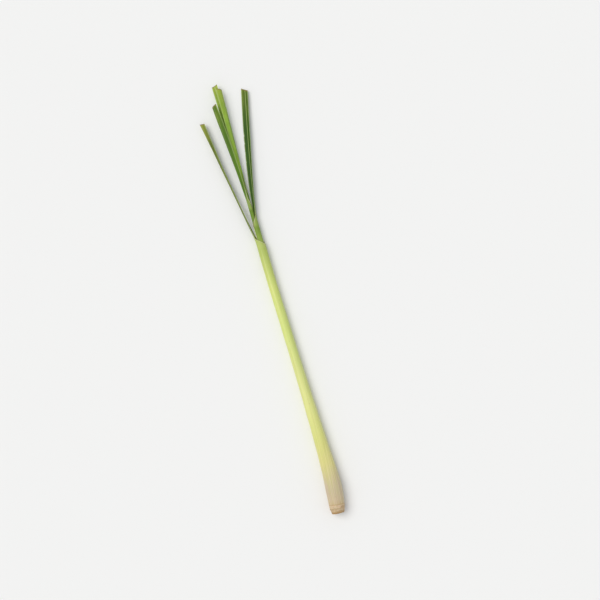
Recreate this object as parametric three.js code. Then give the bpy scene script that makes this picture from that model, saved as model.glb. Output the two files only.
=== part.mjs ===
// A lemongrass stalk, cut and trimmed, lying on its side. Millimetres, +Z up.
// It is built as it grows: a short solid stem base, four leaves whose sheaths wrap one inside the other,
// and the rolled heart leaf in the middle. Each leaf is one solid from its ring on the stem to its trimmed tip.
// While it is modelled, y runs from the cut face at 0 to the tips, x is sideways and z is height over the table.
import * as THREE from "three";

// Driving dimensions
const BULB_RADIUS = 8.45;
const NECK_RADIUS = 4.7;
const FIRST_RING = 9;
const RING_STEP = 4.6;
const CUT_BEVEL = 0.5;
const TIP_LENGTH = 3.7;
const SCAR_AT = 4.4;
const SCAR_RISE = 0.22;
const SCAR_REACH = 0.9;
const NECK_WALL = 0.6;
const MARGIN_THICKNESS = 0.6;
const MIDRIB_RISE = 0.35;
const MIDRIB_WIDTH = 1.1;
const NECK_GAP = 0.22;
const BULB_GAP = 0.34;
const FLAT_SPOT_DEPTH = 0.3;

// How a sheath laps and opens. Angles are in degrees from the midrib, lengths along the stalk from the collar.
const LAP_START = 130;
const LAP_END = 165;
const THINNING_START = 90;
const NARROWING = [-4, 10];
const OPENING = [4, 21];
const LEAN_START = 5;
const FOLD_ROUNDING = 2;
const CUT_REACH = 30;

// How finely the surfaces are divided. Rows are places along a leaf: from the cut end in the sheath, and from the
// collar round the mouth, where the outline turns. No two rows come closer than ROW_SPACE outside the mouth.
const SHEATH_ROWS = [22, 26, 30, 36, 43, 53, 66, 84, 108, 138, 172, 208, 244];
const MOUTH_ROWS = [-13, -7, -4, -2, -0.5, 1, 2.5, 4, 5.5, 7, 8.5, 10, 13, 17, 21];
const BLADE_ROWS = 9;
const ROW_SPACE = 2;
const FOOT_LENGTH = 3;
const SLOPE_STEP = 0.5;
const BASE_SIDES = 24;
const HEART_SIDES = 12;

const rad = THREE.MathUtils.degToRad;
const mix = THREE.MathUtils.lerp;
const ease = THREE.MathUtils.smoothstep;

// A smooth curve through a few [place, value] stops, level past both ends
function through(stops) {
  const last = stops.length - 1;
  const slope = (i) => {
    const before = stops[Math.max(i - 1, 0)];
    const after = stops[Math.min(i + 1, last)];
    return (after[1] - before[1]) / (after[0] - before[0]);
  };
  return (at) => {
    const i = stops.findIndex(([place]) => at <= place);
    if (i === 0) return stops[0][1];
    if (i < 0) return stops[last][1];
    const [from, low] = stops[i - 1];
    const [to, high] = stops[i];
    const t = (at - from) / (to - from);
    const start = slope(i - 1) * (to - from);
    const end = slope(i) * (to - from);
    const rise = high - low;
    return low + t * start + t * t * (3 * rise - 2 * start - end) + t * t * t * (start + end - 2 * rise);
  };
}

// The stalk as a whole: half its width, and its middle line, which sways a little and sinks as the stalk thins
const stalkRadius = through([
  [0, 6.2],
  [4, 7.3],
  [9, 8.0],
  [17, 8.38],
  [27, BULB_RADIUS],
  [43, 7.75],
  [63, 6.85],
  [92, 6.1],
  [126, 5.4],
  [165, 4.95],
  [225, NECK_RADIUS],
]);
const middleX = through([
  [0, 0.7],
  [26, 3.5],
  [52, 3.8],
  [120, 2.8],
  [195, 1.3],
  [240, 0.4],
  [300, 0.3],
]);
const middleZ = through([
  [0, 8.6],
  [20, 8.25],
  [30, BULB_RADIUS - FLAT_SPOT_DEPTH],
  [43, 7.75 - FLAT_SPOT_DEPTH],
  [60, 7.2],
  [100, 6.6],
  [160, 5.9],
  [220, 5.5],
  [300, 5.2],
]);

// How far the stalk is swollen: 0 at the neck, 1 at the widest part of the bulb
const swell = (y) => Math.max(0, (stalkRadius(y) - NECK_RADIUS) / (BULB_RADIUS - NECK_RADIUS));
const gap = (y) => mix(NECK_GAP, BULB_GAP, swell(y));

// The four wrapped leaves, outermost first. Angles are in degrees round the stalk, 0 to the right and 90 up.
// collar: where the sheath turns into the blade. wall: the sheath's thickness in the bulb. wrap: half the angle
// that it covers. back: where the midrib points, at a few places. wing: half the blade's width. fold: how far each
// half folds back. lean: where the tip goes from the middle line, and how late. slant: how askew the tip is cut.
const LEAVES = [
  {
    name: "outer_leaf",
    colour: 0xc6d080,
    collar: 279,
    tip: 412,
    wall: 1.3,
    wrap: 195,
    laps: true,
    segments: 24,
    back: [[9, 213], [100, 212], [279, 200], [310, 181], [360, 176], [412, 138]],
    wing: [[288, 3.1], [320, 3.7], [380, 4.2], [412, 3.7]],
    fold: 22,
    lean: { x: -21.4, z: -3.4, curve: 1.08 },
    slant: -0.25,
  },
  {
    name: "second_leaf",
    colour: 0x74a03f,
    collar: 301,
    tip: 434,
    wall: 1.15,
    wrap: 172,
    segments: 18,
    back: [[14, 10], [279, -12], [301, -16], [350, -44], [434, -64]],
    wing: [[310, 3.2], [340, 4.4], [390, 5.0], [434, 4.6]],
    fold: 34,
    lean: { x: 25.8, z: -2.2, curve: 1.15 },
    slant: 0.3,
  },
  {
    name: "third_leaf",
    colour: 0x669a3a,
    collar: 319,
    tip: 425,
    wall: 1.1,
    wrap: 170,
    segments: 16,
    back: [[18, 190], [301, 172], [319, 166], [352, 150], [425, 124]],
    wing: [[328, 2.8], [350, 4.1], [400, 4.3], [425, 3.5]],
    fold: 30,
    lean: { x: -6.7, z: 6.5, curve: 1.3 },
    slant: 0.35,
  },
  {
    name: "fourth_leaf",
    colour: 0x7fab49,
    collar: 336,
    tip: 440,
    wall: 1.05,
    wrap: 168,
    segments: 14,
    back: [[22, 5], [319, 0], [336, 8], [370, 34], [440, 56]],
    wing: [[345, 2.4], [362, 3.4], [410, 3.9], [440, 3.5]],
    fold: 26,
    lean: { x: 1.6, z: 5.2, curve: 1.3 },
    slant: -0.3,
  },
];
const HEART = {
  name: "heart_leaf",
  colour: 0x8fb857,
  collar: 330,
  tip: 445,
  opens: [346, 405],
  foot: 0.6,
  rows: [36, 45, 56, 72, 100, 140, 190, 250, 300, 330, 346, 356, 366, 378, 392, 408, 425],
  width: 2.9,
  thickness: 0.5,
  cup: 0.8,
  lean: { x: -1.6, z: 1.5, curve: 1.4 },
};
const STEM = { name: "stem_base", colour: 0xd9c79a };
const LEAF_FINISH = { roughness: 0.5, metalness: 0 };
const STEM_FINISH = { roughness: 0.75, metalness: 0 };

// The places where the sheaths are attached, and where the rolled heart stands on the stem's tip
const RINGS = LEAVES.map((leaf, k) => FIRST_RING + k * RING_STEP);
const STEM_TIP = RINGS[RINGS.length - 1] + TIP_LENGTH;

// Each sheath fits inside the one before it, and the second also clears the margin that the first tucks in
const wall = (k, y) => mix(NECK_WALL, LEAVES[k].wall, swell(y));
function layerRadius(k, y) {
  if (k === 0) return stalkRadius(y);
  const around = LEAVES[k - 1];
  const tucked = around.laps ? 2 * MARGIN_THICKNESS + gap(y) : 0;
  return layerRadius(k - 1, y) - Math.max(wall(k - 1, y), tucked) - gap(y);
}

// The middle line of a leaf: the stalk's until the sheath has opened, and from there out to the leaf's own tip
function centreOf(leaf, y) {
  const leaves = leaf.collar + LEAN_START;
  const out = (Math.max(0, y - leaves) / (leaf.tip - leaves)) ** leaf.lean.curve;
  return new THREE.Vector3(middleX(y) + leaf.lean.x * out, y, middleZ(y) + leaf.lean.z * out);
}

// Three directions at a place on a leaf: along it, out through its midrib, and across it
function directions(leaf, y, angle) {
  const along = centreOf(leaf, y + SLOPE_STEP).sub(centreOf(leaf, y - SLOPE_STEP)).normalize();
  const out = new THREE.Vector3(Math.cos(rad(angle)), 0, Math.sin(rad(angle)));
  out.addScaledVector(along, -out.dot(along)).normalize();
  return { along, out, across: along.clone().cross(out) };
}

// The rows of a leaf, from its ring through the sheath and the mouth to the trimmed tip
function rowPlaces(ring, collar, tip) {
  const foot = ring + FOOT_LENGTH;
  const mouth = MOUTH_ROWS.map((step) => collar + step);
  const sheath = SHEATH_ROWS.filter((y) => y > foot + ROW_SPACE && y < mouth[0] - ROW_SPACE);
  const last = mouth[mouth.length - 1];
  const blade = Array.from({ length: BLADE_ROWS }, (_, i) => mix(last, tip, (i + 1) / BLADE_ROWS));
  return [ring, foot, ...sheath, ...mouth, ...blade];
}

// One row across a wrapped leaf: its outer and inner face, as a sleeve up to the collar and an open fold beyond it
function rowAcross(leaf, k, y) {
  const centre = centreOf(leaf, y);
  const { along, out, across } = directions(leaf, y, leaf.backAngle(y));
  const radius = layerRadius(k, y);
  const narrowed = ease(y, leaf.collar + NARROWING[0], leaf.collar + NARROWING[1]);
  const opened = ease(y, leaf.collar + OPENING[0], leaf.collar + OPENING[1]);
  const half = mix(rad(leaf.wrap) * radius, leaf.halfWidth(y), narrowed);
  const fold = rad(leaf.fold);
  const skew = leaf.slant * ease(y, leaf.tip - CUT_REACH, leaf.tip);
  const row = { outer: [], inner: [] };
  for (let j = 0; j <= leaf.segments; j++) {
    const a = half * ((2 * j) / leaf.segments - 1);
    const turn = a / radius;
    const degrees = THREE.MathUtils.radToDeg(turn);
    const tuck = leaf.laps ? (MARGIN_THICKNESS + gap(y)) * ease(-degrees, LAP_START, LAP_END) : 0;
    const sleeveNormal = out.clone().multiplyScalar(Math.cos(turn)).addScaledVector(across, Math.sin(turn));
    const sleeve = sleeveNormal.clone().multiplyScalar(radius - tuck);
    const sleeveWall = mix(wall(k, y), MARGIN_THICKNESS, ease(Math.abs(degrees), THINNING_START, LAP_END));

    const round = Math.hypot(a, FOLD_ROUNDING);
    const depth = radius - Math.sin(fold) * (round - FOLD_ROUNDING);
    const blade = out.clone().multiplyScalar(depth).addScaledVector(across, a * Math.cos(fold));
    const bladeNormal = out.clone().addScaledVector(across, (Math.tan(fold) * a) / round).normalize();
    const midrib = MIDRIB_RISE * Math.exp(-((a / MIDRIB_WIDTH) ** 2)) * opened;

    const normal = sleeveNormal.lerp(bladeNormal, opened).normalize();
    const outer = sleeve.lerp(blade, opened).add(centre).addScaledVector(along, skew * a);
    outer.addScaledVector(normal, midrib);
    outer.z = Math.max(outer.z, 0);
    const thickness = mix(sleeveWall, MARGIN_THICKNESS, opened) + midrib;
    const inner = outer.clone().addScaledVector(normal, -thickness);
    inner.z = Math.max(inner.z, 0);
    row.outer.push(outer);
    row.inner.push(inner);
  }
  return row;
}

function wrappedLeaf(leaf, k) {
  const shape = { ...leaf, backAngle: through(leaf.back), halfWidth: through(leaf.wing) };
  const rows = rowPlaces(RINGS[k], leaf.collar, leaf.tip).map((y) => rowAcross(shape, k, y));
  return sheet(rows);
}

// A closed solid from the rows of a sheet. Both faces are split along the same diagonals.
function sheet(rows) {
  const columns = rows[0].outer.length;
  const points = [...rows.flatMap((row) => row.outer), ...rows.flatMap((row) => row.inner)];
  const outer = (i, j) => i * columns + j;
  const inner = (i, j) => rows.length * columns + outer(i, j);
  const end = rows.length - 1;
  const side = columns - 1;
  const index = [];
  const quad = (a, b, c, d) => index.push(a, b, c, a, c, d);
  for (let i = 0; i < end; i++) {
    for (let j = 0; j < side; j++) {
      quad(outer(i, j), outer(i, j + 1), outer(i + 1, j + 1), outer(i + 1, j));
      quad(inner(i, j), inner(i + 1, j), inner(i + 1, j + 1), inner(i, j + 1));
    }
    quad(outer(i, 0), outer(i + 1, 0), inner(i + 1, 0), inner(i, 0));
    quad(outer(i, side), inner(i, side), inner(i + 1, side), outer(i + 1, side));
  }
  for (let j = 0; j < side; j++) {
    quad(outer(0, j), inner(0, j), inner(0, j + 1), outer(0, j + 1));
    quad(outer(end, j), outer(end, j + 1), inner(end, j + 1), inner(end, j));
  }
  return solid(points, index);
}

// A closed solid from rings of points, with a flat cap on each end
function lofted(rings) {
  const count = rings[0].length;
  const index = [];
  for (let i = 0; i + 1 < rings.length; i++) {
    for (let j = 0; j < count; j++) {
      const a = i * count + j;
      const b = i * count + ((j + 1) % count);
      index.push(a, b, b + count, a, b + count, a + count);
    }
  }
  const top = (rings.length - 1) * count;
  for (let j = 1; j + 1 < count; j++) {
    index.push(0, j + 1, j);
    index.push(top, top + j, top + j + 1);
  }
  return solid(rings.flat(), index);
}

function solid(points, index) {
  const geometry = new THREE.BufferGeometry().setFromPoints(points);
  geometry.setIndex(index);
  geometry.computeVertexNormals();
  return geometry;
}

// The heart leaf: rolled tight inside the fourth sheath, then opening into a narrow cupped blade
function heartLeaf() {
  const start = STEM_TIP + gap(STEM_TIP);
  const foot = start + FOOT_LENGTH;
  const rings = [start, foot, ...HEART.rows, HEART.tip].map((y) => {
    const centre = centreOf(HEART, y);
    const { out, across } = directions(HEART, y, 90);
    const radius = layerRadius(LEAVES.length, y) * mix(HEART.foot, 1, ease(y, start, foot));
    const opened = ease(y, ...HEART.opens);
    const halfWidth = mix(radius, HEART.width, opened);
    const halfThickness = mix(radius, HEART.thickness, opened);
    return Array.from({ length: HEART_SIDES }, (_, j) => {
      const turn = (2 * Math.PI * j) / HEART_SIDES;
      const rise = halfThickness * Math.sin(turn) + HEART.cup * opened * Math.cos(turn) ** 2;
      return centre.clone().addScaledVector(across, -halfWidth * Math.cos(turn)).addScaledVector(out, rise);
    });
  });
  return lofted(rings);
}

// The stem base: the cut end, the scar of a leaf pulled off, then a step in at each ring for the sheath round it
function stemBase() {
  const outside = (y) => [y, stalkRadius(y)];
  const profile = [
    [0, stalkRadius(0) - CUT_BEVEL],
    outside(CUT_BEVEL),
    outside(SCAR_AT - SCAR_REACH),
    [SCAR_AT, stalkRadius(SCAR_AT) + SCAR_RISE],
    outside(SCAR_AT + SCAR_REACH),
  ];
  RINGS.forEach((ring, k) => {
    const y = ring - gap(ring);
    profile.push([y, layerRadius(k, y)], [y, layerRadius(k + 1, y)]);
  });
  profile.push([STEM_TIP, layerRadius(LEAVES.length, STEM_TIP)]);
  const rings = profile.map(([y, radius]) => {
    const centre = centreOf(LEAVES[0], y);
    const { out, across } = directions(LEAVES[0], y, 90);
    return Array.from({ length: BASE_SIDES }, (_, j) => {
      const turn = (2 * Math.PI * j) / BASE_SIDES;
      const point = centre.clone().addScaledVector(out, radius * Math.cos(turn));
      return point.addScaledVector(across, radius * Math.sin(turn));
    });
  });
  return lofted(rings);
}

const stalk = new THREE.Group();
function addPiece(name, geometry, colour, surface) {
  const mesh = new THREE.Mesh(geometry, new THREE.MeshStandardMaterial({ color: colour, ...surface }));
  mesh.name = name;
  stalk.add(mesh);
}

addPiece(STEM.name, stemBase(), STEM.colour, STEM_FINISH);
LEAVES.forEach((leaf, k) => addPiece(leaf.name, wrappedLeaf(leaf, k), leaf.colour, LEAF_FINISH));
addPiece(HEART.name, heartLeaf(), HEART.colour, LEAF_FINISH);

// The origin is on the table, under the middle of the stalk
const reach = new THREE.Box3().setFromObject(stalk);
const middle = reach.getCenter(new THREE.Vector3());
stalk.position.set(-middle.x, -middle.y, -reach.min.z);

export default stalk;
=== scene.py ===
# %% [markdown]
# # A lemongrass stalk
# A lemongrass stalk is a roll of leaves. Every leaf is one strip of tissue: its lower part is a sheath that
# wraps round the younger leaves, and its upper part is a narrow blade that leans away. All of them grow from
# rings on a short stem at the swollen base. Their plain solids are loaded as a frame, and a finer skin is
# grown over each one, with ribs, thin margins, frayed cuts and the colours of a fresh stalk.

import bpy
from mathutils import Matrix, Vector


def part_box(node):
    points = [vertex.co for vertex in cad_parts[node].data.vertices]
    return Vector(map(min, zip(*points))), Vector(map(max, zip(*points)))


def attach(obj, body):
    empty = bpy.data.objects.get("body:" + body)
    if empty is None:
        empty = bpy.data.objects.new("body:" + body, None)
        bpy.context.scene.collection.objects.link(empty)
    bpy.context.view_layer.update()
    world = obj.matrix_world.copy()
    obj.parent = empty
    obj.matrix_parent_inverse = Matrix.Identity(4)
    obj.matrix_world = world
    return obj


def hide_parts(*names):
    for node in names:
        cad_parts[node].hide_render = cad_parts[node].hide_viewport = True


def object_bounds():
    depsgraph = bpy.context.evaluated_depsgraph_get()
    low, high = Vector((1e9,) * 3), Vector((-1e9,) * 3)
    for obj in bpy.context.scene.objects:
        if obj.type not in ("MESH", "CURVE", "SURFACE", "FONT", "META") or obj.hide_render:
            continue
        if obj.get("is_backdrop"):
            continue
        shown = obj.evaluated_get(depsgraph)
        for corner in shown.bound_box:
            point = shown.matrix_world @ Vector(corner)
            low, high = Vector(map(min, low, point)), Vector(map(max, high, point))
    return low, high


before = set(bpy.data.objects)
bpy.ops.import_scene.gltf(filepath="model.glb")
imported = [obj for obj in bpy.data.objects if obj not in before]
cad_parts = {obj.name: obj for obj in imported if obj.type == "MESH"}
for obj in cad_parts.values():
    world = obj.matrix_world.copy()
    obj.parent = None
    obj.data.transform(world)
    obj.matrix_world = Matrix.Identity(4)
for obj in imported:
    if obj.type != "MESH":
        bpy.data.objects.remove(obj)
cad_low, cad_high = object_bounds()
print("solids:", sorted(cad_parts))
print("size in mm:", [round(1000 * side, 1) for side in cad_high - cad_low])

# %% Tools
import math
from types import SimpleNamespace

import bpy
import numpy as np

MM = 0.001

# %% [markdown]
# ## Curves from a few stops
# A stalk has no straight outline and no exact radius. Its width, its middle line and the way each midrib
# points are smooth curves, each described by a few points that it passes through. A Hermite curve does that
# without overshooting much, and NumPy works it out for a whole leaf at once.

# %% Smooth curves and small vector helpers
def through(*stops):
    """A smooth curve through (place, value) stops, level past both ends."""
    x, v = np.array(stops, float).T
    number = np.arange(len(x))
    before, after = np.maximum(number - 1, 0), np.minimum(number + 1, len(x) - 1)
    slope = (v[after] - v[before]) / (x[after] - x[before])

    def curve(at):
        at = np.clip(at, x[0], x[-1])
        i = np.clip(np.searchsorted(x, at) - 1, 0, len(x) - 2)
        span = x[i + 1] - x[i]
        t = (at - x[i]) / span
        rise, start, end = v[i + 1] - v[i], slope[i] * span, slope[i + 1] * span
        return v[i] + t * start + t**2 * (3 * rise - 2 * start - end) + t**3 * (start + end - 2 * rise)

    return curve


def mix(low, high, share):
    return low + (high - low) * share


def ease(at, start, end):
    """0 before start and 1 after end, smooth between them. Start may be above end."""
    t = np.clip((at - start) / (end - start), 0, 1)
    return t * t * (3 - 2 * t)


def unit(vectors):
    return vectors / np.linalg.norm(vectors, axis=-1, keepdims=True)


def round_turns(count):
    """Equal steps round a circle, in radians."""
    return np.arange(count) * (2 * math.pi / count)


print("a curve from 0 to 1 is at", through((0, 0), (10, 1))(5.0).round(2), "halfway")

# %% [markdown]
# ## The stalk's measures
# These are the driving sizes in millimetres: y runs from the cut face at 0 to the tips, x is sideways and z
# is the height over the table. The bulb is the widest part, 27 mm up. Each sheath is thick in the bulb,
# where it stores sap, and as thin as a blade at the neck, so the radii of the inner layers follow from the
# outer one.

# %% Sizes of the stalk
BULB_RADIUS = 8.45
NECK_RADIUS = 4.7
FIRST_RING = 9.0
RING_STEP = 4.6
TIP_LENGTH = 3.7
SCAR_AT = 4.4
NECK_WALL = 0.6
MARGIN_WALL = 0.6
NECK_GAP = 0.22
BULB_GAP = 0.34
FLAT_SPOT_DEPTH = 0.3
LAP_START, LAP_END = 130, 165
THINNING_START = 90
NARROWING = (-4, 10)
OPENING = (4, 21)
LEAN_START = 5
FOLD_ROUNDING = 2.0
FOOT_LENGTH = 3
CUT_REACH = 30
MIDRIB_RISE = 0.35
MIDRIB_WIDTH = 1.1
SLOPE_STEP = 0.5

stalk_radius = through(
    (0, 6.2), (4, 7.3), (9, 8.0), (17, 8.38), (27, BULB_RADIUS), (43, 7.75),
    (63, 6.85), (92, 6.1), (126, 5.4), (165, 4.95), (225, NECK_RADIUS),
)
middle_x = through((0, 0.7), (26, 3.5), (52, 3.8), (120, 2.8), (195, 1.3), (240, 0.4), (300, 0.3))
middle_z = through(
    (0, 8.6), (20, 8.25), (30, BULB_RADIUS - FLAT_SPOT_DEPTH), (43, 7.75 - FLAT_SPOT_DEPTH),
    (60, 7.2), (100, 6.6), (160, 5.9), (220, 5.5), (300, 5.2),
)


def swell(y):
    """0 at the neck and 1 at the widest part of the bulb."""
    return np.maximum(0, (stalk_radius(y) - NECK_RADIUS) / (BULB_RADIUS - NECK_RADIUS))


def gap(y):
    return mix(NECK_GAP, BULB_GAP, swell(y))


print("the bulb is", 2 * BULB_RADIUS, "mm wide and the neck", 2 * NECK_RADIUS)

# %% [markdown]
# ## The leaves
# Four leaves wrap one inside the other and a fifth is still rolled up in the middle. Each entry says where
# the sheath turns into the blade (collar), where the blade was trimmed (tip), how thick the sheath is in the
# bulb (wall), half the angle it covers (wrap), whether it laps over itself (laps), where the midrib points
# (back), half the blade's width (wing), how far its halves fold back (fold), how far the tip goes sideways
# and up, and how late (lean), how askew it is cut (slant) and how many veins half of the sheath and of the
# blade have (ribs). Angles go round the stalk, 0 to the right and 90 straight up.

# %% One entry for each leaf
LEAVES = [
    SimpleNamespace(
        name="outer_leaf", collar=279, tip=412, wall=1.3, wrap=195, laps=True,
        back=through((9, 213), (100, 212), (279, 200), (310, 181), (360, 176), (412, 138)),
        wing=through((288, 3.1), (320, 3.7), (380, 4.2), (412, 3.7)), fold=math.radians(22),
        lean=(-21.4, -3.4, 1.08), slant=-0.25, ribs=(16, 6), columns=176, seed=11,
    ),
    SimpleNamespace(
        name="second_leaf", collar=301, tip=434, wall=1.15, wrap=172, laps=False,
        back=through((14, 10), (279, -12), (301, -16), (350, -44), (434, -64)),
        wing=through((310, 3.2), (340, 4.4), (390, 5.0), (434, 4.6)), fold=math.radians(34),
        lean=(25.8, -2.2, 1.15), slant=0.3, ribs=(14, 7), columns=128, seed=23,
    ),
    SimpleNamespace(
        name="third_leaf", collar=319, tip=425, wall=1.1, wrap=170, laps=False,
        back=through((18, 190), (301, 172), (319, 166), (352, 150), (425, 124)),
        wing=through((328, 2.8), (350, 4.1), (400, 4.3), (425, 3.5)), fold=math.radians(30),
        lean=(-6.7, 6.5, 1.3), slant=0.35, ribs=(12, 6), columns=112, seed=37,
    ),
    SimpleNamespace(
        name="fourth_leaf", collar=336, tip=440, wall=1.05, wrap=168, laps=False,
        back=through((22, 5), (319, 0), (336, 8), (370, 34), (440, 56)),
        wing=through((345, 2.4), (362, 3.4), (410, 3.9), (440, 3.5)), fold=math.radians(26),
        lean=(1.6, 5.2, 1.3), slant=-0.3, ribs=(11, 6), columns=104, seed=41,
    ),
]
HEART = SimpleNamespace(
    name="heart_leaf", collar=330, tip=445,
    lean=(-1.6, 1.5, 1.4), slant=0.3, ribs=(8, 5), columns=96, seed=53,
)
RINGS = [FIRST_RING + k * RING_STEP for k in range(len(LEAVES))]
STEM_TIP = RINGS[-1] + TIP_LENGTH


def layer_wall(k, y):
    return mix(NECK_WALL, LEAVES[k].wall, swell(y))


def layer_radius(k, y):
    """The outer radius of sheath k, inside the one before it and clear of a margin tucked into it."""
    if k == 0:
        return stalk_radius(y)
    tucked = 2 * MARGIN_WALL + gap(y) if LEAVES[k - 1].laps else 0
    return layer_radius(k - 1, y) - np.maximum(layer_wall(k - 1, y), tucked) - gap(y)


for k in range(len(LEAVES) + 1):
    print("layer", k, "radius at the bulb", layer_radius(k, 27.0).round(2),
          "and at the neck", layer_radius(k, 240.0).round(2))

# %% [markdown]
# ## Where a leaf runs
# Up to its collar every leaf follows the stalk's middle line. Past it the blade leans out on a path of its
# own. Three directions lay out the cross-section at each place: along the leaf, out through its midrib, and
# across it. They come from the path, so the section stays square to the leaf wherever it bends.

# %% Middle lines and sections
def centre_of(leaf, y):
    start = leaf.collar + LEAN_START
    side, up, late = leaf.lean
    out = (np.maximum(0, y - start) / (leaf.tip - start)) ** late
    return np.stack([middle_x(y) + side * out, y, middle_z(y) + up * out], -1)


def section(leaf, y, degrees):
    """A leaf's middle at each y, and the directions along it, out at an angle, and across it."""
    along = unit(centre_of(leaf, y + SLOPE_STEP) - centre_of(leaf, y - SLOPE_STEP))
    turn = np.radians(degrees) + 0 * y
    out = np.stack([np.cos(turn), np.zeros_like(turn), np.sin(turn)], -1)
    out = unit(out - (out * along).sum(-1, keepdims=True) * along)
    return [part[:, None] for part in (centre_of(leaf, y), along, out, np.cross(along, out))]


tip_at = centre_of(LEAVES[0], np.array([float(LEAVES[0].tip)]))[0]
print("the outer leaf's tip is at", tip_at.round(1), "mm")

# %% [markdown]
# ## Where the cut end lies
# Here a stalk is measured from its cut end, but the frame's origin is on the table under the stalk's middle.
# The stem's plain outline settles the difference: it is laid out as its solid has it, and every point is
# moved by the distance between the two boxes. Nothing is fitted by eye.

# %% The stem's outline and the origin
CUT_BEVEL = 0.5
SCAR_RISE = 0.22
SCAR_REACH = 0.9
SOLID_SIDES = 24


def on_surface(y):
    return y, stalk_radius(y)


def round_stalk(y, radius, turn):
    """Points at angles turn round the stalk's middle line, square to it. A turn of 0 is straight up."""
    centre, _, out, across = section(LEAVES[0], y, 90.0)
    bent = out * np.cos(turn)[..., None] + across * np.sin(turn)[..., None]
    return centre + bent * np.broadcast_to(radius, bent.shape[:2])[..., None]


shown_outline = [
    (0, stalk_radius(0) - CUT_BEVEL),
    on_surface(CUT_BEVEL),
    on_surface(SCAR_AT - SCAR_REACH),
    (SCAR_AT, stalk_radius(SCAR_AT) + SCAR_RISE),
    on_surface(SCAR_AT + SCAR_REACH),
]
hidden_outline = []
for k, ring in enumerate(RINGS):
    under = ring - gap(ring)
    hidden_outline += [(under, layer_radius(k, under)), (under, layer_radius(k + 1, under))]
hidden_outline.append((STEM_TIP, layer_radius(len(LEAVES), STEM_TIP)))

outline_y, outline_radius = np.array(shown_outline + hidden_outline, float).T
plain_stem = round_stalk(outline_y, outline_radius[:, None], round_turns(SOLID_SIDES)[None, :]).reshape(-1, 3)
solid_low, solid_high = (1000 * np.array(corner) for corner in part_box("stem_base"))
ORIGIN = (solid_low + solid_high - plain_stem.min(0) - plain_stem.max(0)) / 2
print("every point moves by", ORIGIN.round(3), "mm, and the stem's box differs by",
      np.abs(solid_high - solid_low - np.ptp(plain_stem, axis=0)).max().round(4), "mm")

# %% [markdown]
# ## Unevenness
# Nothing that grew is exact. A few sine waves of different lengths, added up with fixed phases, give gentle
# lumps that are the same on every run. They work on whole arrays and need no noise library.

# %% Gentle lumps and a ragged edge
WAVE_STRENGTHS = (0.5, 0.3, 0.2)
LENGTH_SPREAD = (0.55, 1.3)
NEIGHBOURS = 5


def lumps(seed, *places_and_lengths):
    """Soft unevenness from -1 to 1 over one or more (place, wavelength) pairs, in millimetres."""
    draw = np.random.default_rng(seed)
    total = 0
    for strength in WAVE_STRENGTHS:
        wave = draw.uniform(0, 2 * math.pi)
        for place, length in places_and_lengths:
            wave = wave + 2 * math.pi * place / (length * draw.uniform(*LENGTH_SPREAD))
        total = total + strength * np.sin(wave)
    return total


def ragged(seed, count, spread):
    """One random length for each of count columns, partly shared with the neighbours, as in a tear."""
    rough = np.random.default_rng(seed).normal(0, 1, count)
    shared = np.convolve(rough, np.ones(NEIGHBOURS) / NEIGHBOURS, "same")
    return spread * (0.5 * rough + 1.2 * shared)


print("a ragged edge in mm:", ragged(3, 6, 0.2).round(2))

# %% [markdown]
# ## From rows of points to a mesh
# A leaf is a closed sheet, thick in the bulb and thin at the margins, with an outer face, an inner face and
# four narrow edges. Both faces are laid out as grids of points, and the faces between them are numbered
# here. Each point also keeps notes of where it is, because the materials paint by them: along the leaf, past
# its collar, across it, from its edge, its share of the half width, and which face it is on.

# %% Meshes from grids
SHARP_ANGLE = math.radians(48)


def placed(name, data):
    """An object with this mesh, light or camera, put into the scene."""
    made = bpy.data.objects.new(name, data)
    bpy.context.scene.collection.objects.link(made)
    return made


def new_piece(name, points, faces, notes, material):
    """A smooth mesh object from points in millimetres, with a float attribute for each note."""
    mesh = bpy.data.meshes.new(name)
    mesh.from_pydata((points.reshape(-1, 3) + ORIGIN) * MM, [], faces)
    for note, values in notes.items():
        values = np.broadcast_to(values, points.shape[:-1]).astype(np.float32)
        mesh.attributes.new(note, "FLOAT", "POINT").data.foreach_set("value", values.ravel())
    mesh.polygons.foreach_set("use_smooth", [True] * len(mesh.polygons))
    mesh.set_sharp_from_angle(angle=SHARP_ANGLE)
    mesh.materials.append(material)
    print(name, "has", len(mesh.vertices), "points and", len(faces), "faces")
    return placed(name, mesh)


def sheet_faces(rows, columns):
    """The faces of a closed sheet whose points are all of its outer rows, then all of its inner rows."""
    outer = np.arange(rows * columns).reshape(rows, columns)
    inner = outer + rows * columns

    def quads(a, b, c, d):
        return np.stack([a, b, c, d], -1).reshape(-1, 4)

    return np.concatenate([
        quads(outer[:-1, :-1], outer[:-1, 1:], outer[1:, 1:], outer[1:, :-1]),
        quads(inner[:-1, :-1], inner[1:, :-1], inner[1:, 1:], inner[:-1, 1:]),
        quads(outer[:-1, 0], outer[1:, 0], inner[1:, 0], inner[:-1, 0]),
        quads(outer[:-1, -1], inner[:-1, -1], inner[1:, -1], outer[1:, -1]),
        quads(outer[0, :-1], inner[0, :-1], inner[0, 1:], outer[0, 1:]),
        quads(outer[-1, :-1], outer[-1, 1:], inner[-1, 1:], inner[-1, :-1]),
    ]).tolist()


def ring_faces(rings, count):
    """The faces of a body of rings with count points each. Strips from side to side close both ends."""
    point = np.arange(rings * count).reshape(rings, count)
    onward = np.roll(point, -1, axis=1)
    sides = np.stack([point[:-1], onward[:-1], onward[1:], point[1:]], -1).reshape(-1, 4)
    half = count // 2
    strips = [[0, 1, count - 1], [half - 1, half, half + 1]]
    strips += [[j, j + 1, count - j - 1, count - j] for j in range(1, half - 1)]
    first = [point[0, strip[::-1]].tolist() for strip in strips]
    return sides.tolist() + first + [point[-1, strip].tolist() for strip in strips]


print("a sheet of 3 by 4 points has", len(sheet_faces(3, 4)), "faces")

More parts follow.
